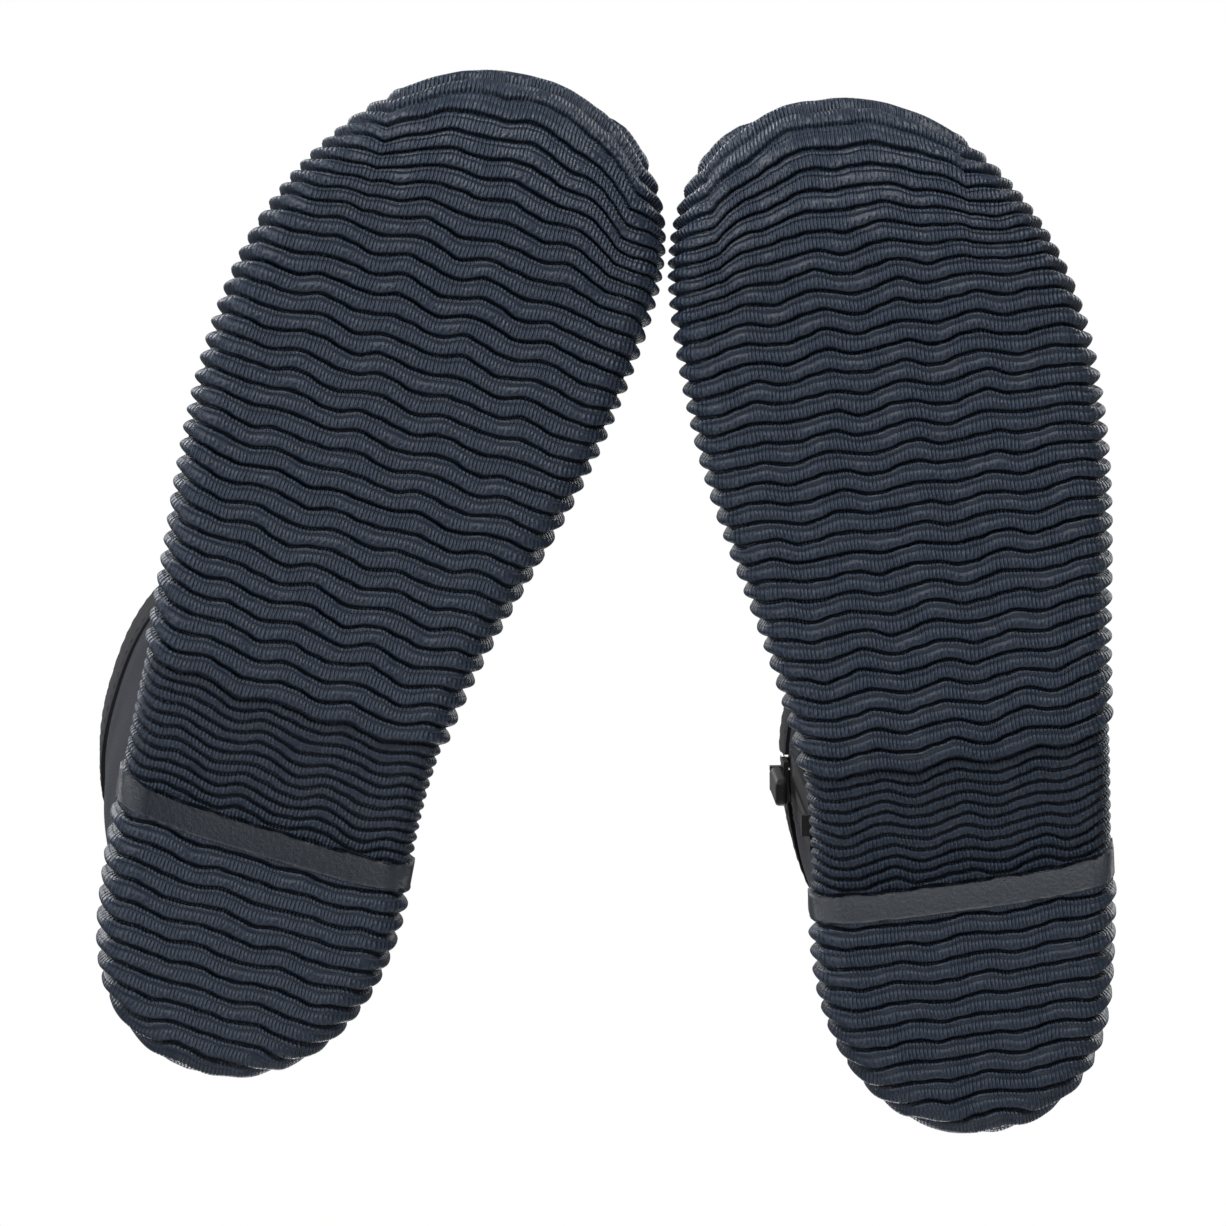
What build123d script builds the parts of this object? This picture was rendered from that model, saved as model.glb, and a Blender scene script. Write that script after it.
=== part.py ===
from build123d import *

import math
import os

# ---------------------------------------------------------------- driving dimensions, mm
SOLE_LENGTH = 292.5       # heel tip to toe tip
TREAD_DEPTH = 2.5         # crest of a rib to the ground of the sole
EDGE_TEETH = 2.0          # how far the rib ends stand out of the side wall
PLATE = 3.5               # sole thickness between tread ground and cavity floor
HEEL_DROP = 7.0           # heel seat higher than forefoot
CAVITY_INSET = 5.5        # sole outline to the inner face of the cup wall
RIM = 14.0                # top of the cup wall above the tread line
MIDSOLE = 3.5
BOARD = 1.5
FOOTBED = 4.0
NEOPRENE = 5.0            # upper wall
OVERLAY = 1.2             # rubber skins on the upper
SHAFT_TOP = 165.0         # height of the cut edge of the neoprene
BINDING_DEPTH = 14.0      # how far the hem strip runs down the wall
BINDING_TOP = 1.5         # hem strip above the cut edge

RIB_PITCH = 5.6
RIB_WIDTH = 2.8
FINE_PITCH = 3.2
FINE_WIDTH = 1.5
FINE_RECESS = 1.2         # fine ribs of the waist lie this far above the tread line
WAVE_LENGTH = 21.5        # from crest to crest across the sole
WAVE_HEIGHT = 0.95        # amplitude, large ribs
FINE_WAVE_HEIGHT = 1.35
WAVE_SHIFT = 12.0         # a crest column lies this far to the medial side
RIB_END_BEND = 5.0        # how far rib ends turn forward (heel) or back (toe)

HEEL_RIBS = (4.0, 64.0)   # first and last rib of each field, from the heel tip
WAIST_RIBS = (73.6, 102.4)
FORE_RIBS = (108.5, 287.0)
BREAST_LOW = 64.5         # front of the heel block at the tread
BREAST_HIGH = 71.5        # and where it meets the sole

ZIP_LENGTH = 117.0
ZIP_START = 48.0          # height of the lower end of the slot
ZIP_STATION = 87.0        # distance from the heel tip
ZIP_SIDE = -35.8          # distance from the long axis, at the lower end
ZIP_TURN = 7.0            # the zip faces this many degrees forward of straight sideways
ZIP_LEAN = 0.004          # sideways travel per unit of height
SLOT_WIDTH = 14.0
TAPE_WIDTH = 5.0
TAPE_THICK = 2.0
TOOTH_PITCH = 3.0
TOOTH_TALL = 1.2
TOOTH_THICK = 2.6
TOOTH_REACH = 1.2         # how far a tooth crosses the middle line
CLEAR = 0.4
SLIDER = (11.0, 13.0, 1.5)    # width, height, plate thickness
PULL = (8.0, 30.0, 3.4)       # width, length, thickness
PIN_RADIUS = 0.8

RIGHT_HEEL = (115.0, -129.9)  # where the heel tip stands before the pair is centred
RIGHT_TURN = 17.1
LEFT_HEEL = (-105.8, -147.4)
LEFT_TURN = -7.75

# sole outline over the rib ends: (sideways, from heel tip); medial is negative
OUTLINE = [
    (3, 0), (31.5, 15), (41.5, 43.5), (48, 94), (51.5, 130.5), (57, 174), (58, 203),
    (54.3, 232), (41.4, 261.5), (21.8, 282.5), (-10.5, SOLE_LENGTH), (-40.6, 283.4), (-55.2, 261.5),
    (-58.3, 232), (-54.2, 188.4), (-44.8, 145), (-39.6, 94), (-42, 43.5), (-30.3, 15),
]

# sections of the upper, toe to collar:
# underside or back (from heel, height), top or front (from heel, height),
# medial side, lateral side, narrowing towards the top or front
SECTIONS = [
    ((283.5, 17), (283.5, 30), -24, 4, 0.20),
    ((280, 12), (280, 37), -29, 12, 0.28),
    ((272, 9), (272, 45), -47, 31, 0.40),
    ((255, 6), (255, 53), -60, 49, 0.50),
    ((225, 3), (225, 63), -64, 63, 0.50),
    ((190, 3), (190, 77), -61, 66, 0.55),
    ((160, 3), (160, 95), -56, 64, 0.58),
    ((114.9, 4), (148.4, 98), -46, 54, 0.45),
    ((65.5, 9), (139.7, 104), -41, 45, 0.28),
    ((16, 9), (134.7, 109), -38.5, 41, 0.13),
    ((3.5, 24.4), (132.6, 111.5), -37, 40, 0.05),
    ((2, 46), (130.9, 114.5), -36, 40, 0.0),
    ((8, 92), (127, 121.8), -35.5, 41.5, 0.0),
    ((17, 130), (127, 130), -36.3, 45.5, 0.0),
    ((35, SHAFT_TOP), (130, SHAFT_TOP), -37.2, 50.5, 0.0),
    ((37, SHAFT_TOP + 10), (130, SHAFT_TOP + 10), -37.4, 51.5, 0.0),
]
SECTION_SQUARENESS = 2.4
SECTION_POINTS = 12
NOSE_SECTIONS = 2         # the first sections lie across the toe and move forward when grown

# seams of the upper in (from heel, height), lower end first
VAMP_SEAM = [(152, -10), (128, 112), (134, 200)]
COUNTER_EDGE = [(46, -10), (38, 66), (-20, 72)]
SEAM_TAPE_REAR = [(147, 27), (124, 114), (126.5, 151)]
SEAM_TAPE_FRONT = [(134, 151), (132, 114), (155, 27)]
MIDDLE_LEAN = 8.0         # the parting plane of the two sides leans this far over 210 mm
TOE_CAP_START = 236.0     # from the heel tip
COUNTER_START = 46.0
RAND_HEIGHT = 27.0        # top of the side strips above the tread line
BACK_TAPE = (5.0, 12.0)   # middle and width of the tape up the heel
BACK_TAPE_LOW = 60.0
FLAP = (30.0, 3.0, 6.4)   # flap behind the zip: width, thickness, distance behind the zip
FLAP_DROP = 6.0           # it starts this far below the slot
FAR = 400.0               # larger than the boot


# ---------------------------------------------------------------- sole
def outline_face(inset):
    """The sole's outline, drawn in by inset."""
    points = []
    for k, (x, y) in enumerate(OUTLINE):
        before = OUTLINE[k - 1]
        after = OUTLINE[(k + 1) % len(OUTLINE)]
        run_x, run_y = after[0] - before[0], after[1] - before[1]
        run = math.hypot(run_x, run_y)
        points.append((x - inset * run_y / run, y + inset * run_x / run))
    return make_face(Spline(*points, periodic=True))


def outline_prism(inset, z_low, z_high):
    return Pos(0, 0, z_low) * extrude(outline_face(inset), z_high - z_low)


def long_line(height):
    """Edges of the sole's long profile in (from heel, height), raised by height."""
    seat = HEEL_DROP + height
    toe_tip = 19.6 + height
    toe_mid = 4.7 + height
    return [
        Line((-20, seat), (60, seat)),
        Spline((60, seat), (120, height), tangents=((1, 0), (1, 0))),
        Line((120, height), (245, height)),
        ThreePointArc((245, height), (273, toe_mid), (300, toe_tip)),
    ]


def layer(low, high):
    """Everything between two levels above the sole's long profile."""
    lower = long_line(low)
    upper = long_line(high)
    ends = [Line(lower[0] @ 0, upper[0] @ 0), Line(lower[-1] @ 1, upper[-1] @ 1)]
    side = make_face(Curve() + lower + upper + ends)
    return extrude(Plane.YZ * side, 80, both=True)


def side_block(*points):
    """Block across the boot with an outline given in (from heel, height)."""
    return extrude(Plane.YZ * make_face(Polyline(*points, close=True)), 80, both=True)


def wavy_band(station, width, wave):
    """One rib seen from below: a wavy strip right across the sole."""
    bend = RIB_END_BEND * max(-1.0, min(1.0, (190.0 - station) / 90.0))
    back, front = [], []
    for k in range(-6, 8):
        x = k * WAVE_LENGTH / 2 - WAVE_SHIFT
        ripple = wave if k % 2 == 0 else -wave
        sweep = bend * min(abs(x) / 50.0, 1.2) ** 4
        back.append((x, station + ripple + sweep - width / 2))
        front.append((x, station + ripple + sweep + width / 2))
    return make_face(Polyline(*back, *reversed(front), close=True))


def rib_walls(span, pitch, width, wave, inset):
    """Upright walls over a field of evenly spaced wavy ribs, ended by the outline."""
    count = round((span[1] - span[0]) / pitch)
    limit = outline_face(inset)
    walls = []
    for k in range(count + 1):
        rib = wavy_band(span[0] + k * pitch, width, wave) & limit
        walls += [solid for solid in extrude(rib, 42).solids() if solid.volume > 100]
    return Compound(walls)


def heel_block():
    return side_block((-20, -5), (BREAST_LOW, -5), (BREAST_LOW, 0), (BREAST_HIGH, 9.5), (-20, 9.5))


def cavity():
    return outline_prism(CAVITY_INSET, 0, 80)


def make_heel_lift():
    under = layer(-20, TREAD_DEPTH)
    core = outline_prism(EDGE_TEETH, TREAD_DEPTH, 40) & (heel_block() & under)
    ribs = rib_walls(HEEL_RIBS, RIB_PITCH, RIB_WIDTH, WAVE_HEIGHT, 0)
    ribs = ribs & (under & side_block((-20, 0), (BREAST_LOW, 0), (BREAST_LOW, 9), (-20, 9)))
    return core.fuse(*ribs.solids())


def make_outsole():
    core = outline_prism(EDGE_TEETH, 0, 60) & layer(TREAD_DEPTH, RIM)
    ribs = rib_walls(FORE_RIBS, RIB_PITCH, RIB_WIDTH, WAVE_HEIGHT, 0) & layer(0, RIM - 4)
    fine = rib_walls(WAIST_RIBS, FINE_PITCH, FINE_WIDTH, FINE_WAVE_HEIGHT, 1) & layer(FINE_RECESS, RIM - 4)
    body = core.fuse(*ribs.solids(), *fine.solids())
    return body - (cavity() & layer(TREAD_DEPTH + PLATE, 60))


# ---------------------------------------------------------------- layers inside the sole
def inside_layer(low, high):
    base = TREAD_DEPTH + PLATE
    return cavity() & layer(base + low, base + high)


def make_midsole():
    return inside_layer(0, MIDSOLE)


def make_board():
    return inside_layer(MIDSOLE, MIDSOLE + BOARD)


# ---------------------------------------------------------------- upper
def section_wire(section, grow):
    """Closed outline of one section, grown outwards by grow (negative: shrunk)."""
    (y0, z0), (y1, z1), medial, lateral, narrowing = section
    span = math.hypot(y1 - y0, z1 - z0)
    uy, uz = (y1 - y0) / span, (z1 - z0) / span
    middle = (medial + lateral) / 2
    half = (lateral - medial) / 2 + grow
    points = []
    for k in range(SECTION_POINTS):
        angle = 2 * math.pi * k / SECTION_POINTS
        along, across = -math.cos(angle), math.sin(angle)
        power = 2 / SECTION_SQUARENESS
        along = math.copysign(abs(along) ** power, along)
        across = math.copysign(abs(across) ** power, across)
        reach = span / 2 + along * (span / 2 + grow)
        width = half * (1 - narrowing * (along + 1) / 2)
        points.append((middle + across * width, y0 + uy * reach, z0 + uz * reach))
    return Wire([Edge.make_spline([Vector(*p) for p in points], periodic=True)])


def foot_form(grow):
    """Solid of the upper's outer face, grown by grow."""
    rings = []
    for number, section in enumerate(SECTIONS):
        if number < NOSE_SECTIONS:
            (y0, z0), (y1, z1) = section[:2]
            section = ((y0 + grow, z0), (y1 + grow, z1)) + section[2:]
        rings.append(section_wire(section, grow))
    return Solid.make_loft(rings, False)


def above_sole():
    """Space open to the upper: over the board, and inside the cup below its rim."""
    floor = TREAD_DEPTH + PLATE + MIDSOLE + BOARD
    return layer(floor, 250) - (layer(-30, RIM) - cavity())


def vamp_side():
    return side_block(*VAMP_SEAM, (FAR, VAMP_SEAM[-1][1]), (FAR, VAMP_SEAM[0][1]))


def medial_side():
    outline = Polyline((0, -10), (MIDDLE_LEAN, 200), (-120, 200), (-120, -10), close=True)
    return extrude(Plane.XZ * make_face(outline), FAR, both=True)


def zip_plane():
    """Flat frame of the zip: x towards the heel, y up the zip, z outwards."""
    turn = math.radians(ZIP_TURN)
    forward = Vector(math.sin(turn), math.cos(turn), 0)
    outward = Vector(-math.cos(turn), math.sin(turn), ZIP_LEAN)
    return Plane(origin=(ZIP_SIDE, ZIP_STATION, ZIP_START), x_dir=forward * -1, z_dir=outward)


def zip_box(x_low, x_high, y_low, y_high, z_low, z_high):
    """Box in the zip's frame between the given limits."""
    box = Box(x_high - x_low, y_high - y_low, z_high - z_low, align=(Align.MIN, Align.MIN, Align.MIN))
    return zip_plane().location * (Pos(x_low, y_low, z_low) * box)


def zip_slot():
    half = SLOT_WIDTH / 2
    return zip_box(-half, half, 0, ZIP_LENGTH + 30, -SLOT_WIDTH, SLOT_WIDTH)


def slab(z_low, z_high):
    """Everything between two heights."""
    centre = Pos(0, 0, (z_low + z_high) / 2)
    return centre * Box(2 * FAR, 2 * FAR, z_high - z_low)


def biggest(shape):
    return max(shape.solids(), key=lambda solid: solid.volume)


def make_upper():
    """Neoprene panels, rubber skins and tapes, keyed by node."""
    outer = foot_form(0)
    inner = foot_form(-NEOPRENE)
    skin_form = foot_form(OVERLAY)
    open_space = above_sole()
    below_top = slab(-FAR, SHAFT_TOP)
    shell = ((outer - inner) & open_space) & below_top
    skin = ((skin_form - outer) & open_space) & below_top
    slot = zip_slot()
    behind = shell - vamp_side()
    parts = {}
    parts["vamp"] = biggest(shell & vamp_side())
    parts["lateral_quarter"] = biggest(behind - medial_side())
    parts["medial_quarter"] = biggest((behind & medial_side()) - slot)

    hem = SHAFT_TOP - BINDING_DEPTH
    toe = side_block((TOE_CAP_START, -10), (TOE_CAP_START, 100), (FAR, 100), (FAR, -10))
    counter = side_block(*COUNTER_EDGE, (-20, -10))
    low = layer(-30, RAND_HEIGHT)
    middle_strip = side_block(
        (COUNTER_START, -10), (COUNTER_START, 100), (TOE_CAP_START, 100), (TOE_CAP_START, -10)
    )
    rand = (skin & low & middle_strip) - counter
    parts["toe_cap"] = biggest(skin & toe)
    parts["heel_counter"] = biggest(skin & counter)
    parts["medial_rand"] = biggest(rand & medial_side())
    parts["lateral_rand"] = biggest(rand - medial_side())
    seam = (skin & side_block(*SEAM_TAPE_REAR, *SEAM_TAPE_FRONT)) - low
    parts["vamp_seam_tape"] = biggest(seam - slot)
    tape_middle, tape_width = BACK_TAPE
    back = Pos(tape_middle, 20, (hem + BACK_TAPE_LOW) / 2) * Box(tape_width, 60, hem - BACK_TAPE_LOW)
    parts["back_seam_tape"] = biggest((skin & back) - counter)

    top = SHAFT_TOP + BINDING_TOP
    sleeve = skin_form - foot_form(-NEOPRENE - OVERLAY)
    under_edge = (outer - inner) & below_top
    parts["collar_binding"] = biggest(((sleeve & slab(hem, top)) - under_edge) - slot)

    floor = MIDSOLE + BOARD
    base = TREAD_DEPTH + PLATE
    parts["footbed"] = biggest(inner & layer(base + floor, base + floor + FOOTBED))
    wide, thick, behind_zip = FLAP
    flap_top = ZIP_LENGTH - BINDING_DEPTH
    flap = zip_box(-wide / 2, wide / 2, -FLAP_DROP, flap_top, -behind_zip - thick, -behind_zip)
    parts["zip_gusset"] = biggest(flap & inner)
    return parts


# ---------------------------------------------------------------- zip
def make_zip():
    parts = {}
    half = SLOT_WIDTH / 2
    inner = half - TAPE_WIDTH
    thick = TAPE_THICK / 2
    parts["zip_tape_rear"] = zip_box(inner, half, 0, ZIP_LENGTH, -thick, thick)
    parts["zip_tape_front"] = zip_box(-half, -inner, 0, ZIP_LENGTH, -thick, thick)
    first = 6.0
    last = ZIP_LENGTH - 8.0
    count = int((last - first) / TOOTH_PITCH)
    deep = TOOTH_THICK / 2
    rear, front = [], []
    for k in range(count):
        y = first + k * TOOTH_PITCH
        rear.append(zip_box(-TOOTH_REACH, inner, y, y + TOOTH_TALL, -deep, deep))
        y += TOOTH_PITCH / 2
        front.append(zip_box(-inner, TOOTH_REACH, y, y + TOOTH_TALL, -deep, deep))
    parts["zip_teeth_rear"] = Compound(rear)
    parts["zip_teeth_front"] = Compound(front)

    wide, tall, plate = SLIDER
    gap = deep + CLEAR
    top = ZIP_LENGTH - 6.0
    stop = gap + plate
    low_stop = zip_box(-inner - 1, inner + 1, 0.6, 4.4, thick, stop)
    low_back = zip_box(-inner - 1, inner + 1, 0.6, 4.4, -stop, -thick)
    bridge = zip_box(-inner, inner, 0.6, 4.4, -thick, thick)
    stops = [low_stop + bridge + low_back]
    for side in (-1, 1):
        x0, x1 = sorted((side * (inner + 0.2), side * (inner + 3.0)))
        stops.append(zip_box(x0, x1, top + CLEAR, top + CLEAR + 3, thick, stop))
    parts["zip_stops"] = Compound(stops)

    low = top - tall
    face = zip_box(-wide / 2, wide / 2, low, top, gap, gap + plate)
    back = zip_box(-wide / 2, wide / 2, low, top, -gap - plate, -gap)
    pull_wide, pull_long, pull_thick = PULL
    neck = 1.7
    pin_out = gap + plate + 0.4 + pull_thick / 2
    pin_up = low + tall * 0.55
    for side in (-1, 1):
        x0, x1 = sorted((side * (neck + CLEAR), side * (neck + CLEAR + 1.4)))
        cheek = zip_box(x0, x1, pin_up - 2, pin_up + 2, gap + plate - 0.5, pin_out + 1.6)
        face = face + cheek
    pin_frame = zip_plane().location * Pos(0, pin_up, pin_out) * Rot(0, 90, 0)
    face = face + pin_frame * Cylinder(PIN_RADIUS, 2 * (neck + CLEAR) + 1.0)
    parts["zip_slider"] = Compound([face.solid(), back.solid()])

    eye = pin_frame * Cylinder(pull_thick / 2, 2 * neck)
    shank = zip_box(-neck, neck, pin_up - 6, pin_up, pin_out - pull_thick / 2, pin_out + pull_thick / 2)
    tab = Pos(0, pin_up - 4.5 - pull_long / 2, pin_out) * Box(pull_wide, pull_long, pull_thick)
    tab = fillet(tab.edges().filter_by(Axis.Z), 2.4)
    tab = zip_plane().location * fillet(tab.edges(), 1.2)
    hole = pin_frame * Cylinder(PIN_RADIUS + 0.35, 4 * neck)
    parts["zip_pull"] = (eye + shank + tab) - hole
    return parts


# ---------------------------------------------------------------- the pair
def make_boot():
    parts = {"heel_lift": make_heel_lift(), "outsole": make_outsole()}
    parts["midsole"] = make_midsole()
    parts["insole_board"] = make_board()
    parts.update(make_upper())
    parts.update(make_zip())
    return parts


def placed(shape, heel, turn):
    return Pos(heel[0], heel[1], 0) * Rot(0, 0, turn) * shape


def main():
    boot = make_boot()
    pair = {}
    for name, shape in boot.items():
        pair["right_" + name] = placed(shape, RIGHT_HEEL, RIGHT_TURN)
        pair["left_" + name] = placed(mirror(shape, about=Plane.YZ), LEFT_HEEL, LEFT_TURN)
    box = Compound([shape for shape in pair.values()]).bounding_box()
    to_centre = Pos(-box.center().X, -box.center().Y, 0)
    print("pair extents", box.size, "shift", to_centre.position)
    os.makedirs("parts", exist_ok=True)
    for name, shape in pair.items():
        export_step(to_centre * shape, os.path.join("parts", name + ".step"))


main()
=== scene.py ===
import math

import bmesh
import bpy
import numpy as np
from mathutils import Matrix, Vector
from mathutils.bvhtree import BVHTree


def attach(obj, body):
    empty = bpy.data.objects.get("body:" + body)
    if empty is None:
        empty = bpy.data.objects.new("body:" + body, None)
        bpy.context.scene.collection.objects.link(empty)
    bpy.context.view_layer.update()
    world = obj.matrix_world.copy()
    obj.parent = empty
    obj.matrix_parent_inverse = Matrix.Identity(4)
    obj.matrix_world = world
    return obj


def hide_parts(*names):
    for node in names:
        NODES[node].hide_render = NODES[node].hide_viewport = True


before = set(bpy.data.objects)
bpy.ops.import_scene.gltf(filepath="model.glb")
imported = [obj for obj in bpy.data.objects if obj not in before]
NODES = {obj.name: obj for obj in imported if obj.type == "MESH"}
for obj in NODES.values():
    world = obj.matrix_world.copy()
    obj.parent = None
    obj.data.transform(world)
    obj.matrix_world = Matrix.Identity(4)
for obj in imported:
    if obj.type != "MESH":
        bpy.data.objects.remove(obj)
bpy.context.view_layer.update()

# ------------------------------------------------------------------ the boots' own frame, mm
SHIFT = (1.48413, -1.20748)
BOOTS = {
    "right": dict(heel=(115.0, -129.9), turn=17.1, sign=1, wave_shift=12.4),
    "left": dict(heel=(-105.8, -147.4), turn=-7.75, sign=-1, wave_shift=18.5),
}
OUTLINE = [
    (3, 0), (31.5, 15), (41.5, 43.5), (48, 94), (51.5, 130.5), (57, 174), (58, 203),
    (54.3, 232), (41.4, 261.5), (21.8, 282.5), (-10.5, 292.5), (-40.6, 283.4), (-55.2, 261.5),
    (-58.3, 232), (-54.2, 188.4), (-44.8, 145), (-39.6, 94), (-42, 43.5), (-30.3, 15),
]
SECTIONS = [
    ((283.5, 17), (283.5, 30), -24, 4, 0.20),
    ((280, 12), (280, 37), -29, 12, 0.28),
    ((272, 9), (272, 45), -47, 31, 0.40),
    ((255, 6), (255, 53), -60, 49, 0.50),
    ((225, 3), (225, 63), -64, 63, 0.50),
    ((190, 3), (190, 77), -61, 66, 0.55),
    ((160, 3), (160, 95), -56, 64, 0.58),
    ((114.9, 4), (148.4, 98), -46, 54, 0.45),
    ((65.5, 9), (139.7, 104), -41, 45, 0.28),
    ((16, 9), (134.7, 109), -38.5, 41, 0.13),
    ((3.5, 24.4), (132.6, 111.5), -37, 40, 0.05),
    ((2, 46), (130.9, 114.5), -36, 40, 0.0),
    ((8, 92), (127, 121.8), -35.5, 41.5, 0.0),
    ((17, 130), (127, 130), -36.3, 45.5, 0.0),
    ((35, 165), (130, 165), -37.2, 50.5, 0.0),
    ((37, 175), (130, 175), -37.4, 51.5, 0.0),
]
SQUARENESS = 2.4
SOLE_LENGTH = 292.5
GROUND = 2.5            # rib height under the sole
RIM = 14.0              # top of the sole's side wall
INSET = 2.7             # outline over the rib ends to the wall between them
COARSE_PITCH = 5.6      # heel and forefoot ribs
FINE_PITCH = 3.2        # waist ribs
HEEL_START = 4.0
HEEL_END = 64.5         # front edge of the heel block's ribs
BREAST = 7.0            # length of the smooth band in front of them
HEEL_TOP = 9.5          # height of the heel block
FORE_START = 105.7      # groove between waist and forefoot
WAVE_LENGTH = 21.5
BEAD_PITCH = 2.0
FINE_BEAD_PITCH = 1.63
STROKE_PITCH = 1.05
STEP_ACROSS, STEP_ALONG = ((0.52, 0.32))


def to_world(side, points):
    """Boot coordinates in mm to the row frame in metres."""
    boot = BOOTS[side]
    p = np.asarray(points, float).reshape(-1, 3)
    a = math.radians(boot["turn"])
    x = p[:, 0] * boot["sign"]
    out = np.empty_like(p)
    out[:, 0] = boot["heel"][0] + SHIFT[0] + x * math.cos(a) - p[:, 1] * math.sin(a)
    out[:, 1] = boot["heel"][1] + SHIFT[1] + x * math.sin(a) + p[:, 1] * math.cos(a)
    out[:, 2] = p[:, 2]
    return out / 1000.0


def smooth(a, b, x):
    """Soft step from 0 at a to 1 at b."""
    t = np.clip((x - a) / (b - a), 0, 1)
    return t * t * (3 - 2 * t)


def cubic(knots, values, at, periodic=False):
    """C2 spline through values (n, ...) at knots; with periodic, knots holds n + 1 numbers."""
    v = np.asarray(values, float)
    n = len(v)
    if periodic:
        h = np.diff(knots)
        nxt = np.roll(v, -1, 0)
        slope = (nxt - v) / h.reshape(-1, *([1] * (v.ndim - 1)))
        m = np.zeros((n, n))
        for i in range(n):
            m[i, i - 1] += h[i - 1]
            m[i, i] += 2 * (h[i - 1] + h[i])
            m[i, (i + 1) % n] += h[i]
        rhs = 6 * (slope - np.roll(slope, 1, 0))
        second = np.linalg.solve(m, rhs.reshape(n, -1)).reshape(v.shape)
        v = np.concatenate([v, v[:1]])
        second = np.concatenate([second, second[:1]])
    else:
        h = np.diff(knots)
        slope = (v[1:] - v[:-1]) / h.reshape(-1, *([1] * (v.ndim - 1)))
        m = np.zeros((n, n))
        rhs = np.zeros((n, int(np.prod(v.shape[1:]))))
        m[0, 0] = m[-1, -1] = 1
        for i in range(1, n - 1):
            m[i, i - 1] = h[i - 1]
            m[i, i] = 2 * (h[i - 1] + h[i])
            m[i, i + 1] = h[i]
            rhs[i] = (6 * (slope[i] - slope[i - 1])).reshape(-1)
        second = np.linalg.solve(m, rhs).reshape(v.shape)
    k = np.clip(np.searchsorted(knots, at, side="right") - 1, 0, len(knots) - 2)
    hh = (knots[k + 1] - knots[k]).reshape(-1, *([1] * (v.ndim - 1)))
    b = (np.asarray(at) - knots[k]).reshape(hh.shape) / hh
    a = 1 - b
    return a * v[k] + b * v[k + 1] + ((a ** 3 - a) * second[k] + (b ** 3 - b) * second[k + 1]) * hh * hh / 6


def make_object(name, verts, faces, body, material, attributes):
    """Mesh object from arrays of metres, riding on a CAD body."""
    mesh = bpy.data.meshes.new(name)
    verts = np.asarray(verts, np.float32)
    faces = np.asarray(faces, np.int32)
    mesh.vertices.add(len(verts))
    mesh.vertices.foreach_set("co", verts.ravel())
    size = faces.shape[1]
    mesh.loops.add(faces.size)
    mesh.loops.foreach_set("vertex_index", faces.ravel())
    mesh.polygons.add(len(faces))
    mesh.polygons.foreach_set("loop_start", np.arange(0, faces.size, size, dtype=np.int32))
    mesh.update(calc_edges=True)
    mesh.validate()
    for key, values in attributes.items():
        layer = mesh.attributes.new(key, "FLOAT", "POINT")
        layer.data.foreach_set("value", np.asarray(values, np.float32))
    mesh.polygons.foreach_set("use_smooth", np.ones(len(mesh.polygons), bool))
    obj = bpy.data.objects.new(name, mesh)
    bpy.context.scene.collection.objects.link(obj)
    mesh.materials.append(material)
    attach(obj, body)
    return obj


# ------------------------------------------------------------------ materials
class Nodes:
    """Short spelling for building a procedural material."""

    def __init__(self, name):
        self.material = bpy.data.materials.new(name)
        self.material.use_nodes = True
        self.tree = self.material.node_tree
        self.tree.nodes.clear()
        self.out = self.tree.nodes.new("ShaderNodeOutputMaterial")
        self.shader = self.tree.nodes.new("ShaderNodeBsdfPrincipled")
        self.tree.links.new(self.shader.outputs[0], self.out.inputs[0])
        self.coords = self.tree.nodes.new("ShaderNodeTexCoord").outputs["Object"]

    def node(self, kind, **values):
        made = self.tree.nodes.new("ShaderNode" + kind)
        for key, value in values.items():
            setattr(made, key, value)
        return made

    def put(self, socket, value):
        if isinstance(value, (int, float)):
            socket.default_value = value
        elif isinstance(value, (tuple, list)):
            socket.default_value = (*value, 1.0)[: len(socket.default_value)]
        else:
            self.tree.links.new(value, socket)

    def math(self, op, a, b=0.0):
        made = self.node("Math", operation=op)
        for socket, value in zip(made.inputs, (a, b)):
            self.put(socket, value)
        return made.outputs[0]

    def multiply(self, a, b):
        return self.math("MULTIPLY", a, b)

    def noise(self, scale, detail=3.0, rough=0.55):
        made = self.node("TexNoise")
        self.put(made.inputs["Scale"], scale)
        self.put(made.inputs["Detail"], detail)
        self.put(made.inputs["Roughness"], rough)
        self.tree.links.new(self.coords, made.inputs["Vector"])
        return made.outputs["Fac"]

    def attr(self, name):
        return self.node("Attribute", attribute_name=name).outputs["Fac"]

    def remap(self, value, a, b, c=0.0, d=1.0):
        made = self.node("MapRange")
        made.clamp = True
        for socket, v in zip(made.inputs, (value, a, b, c, d)):
            self.put(socket, v)
        return made.outputs[0]

    def mix(self, factor, a, b):
        made = self.node("Mix", data_type="RGBA")
        self.put(made.inputs[0], factor)
        self.put(made.inputs[6], a)
        self.put(made.inputs[7], b)
        return made.outputs[2]

    def bump(self, height, distance):
        made = self.node("Bump")
        self.put(made.inputs["Height"], height)
        self.put(made.inputs["Distance"], distance)
        self.put(made.inputs["Strength"], 1.0)
        return made.outputs[0]

    def set(self, **values):
        for key, value in values.items():
            self.put(self.shader.inputs[key.replace("_", " ")], value)
        return self.material


def times(colour, factor):
    return tuple(channel * factor for channel in colour)


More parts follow.
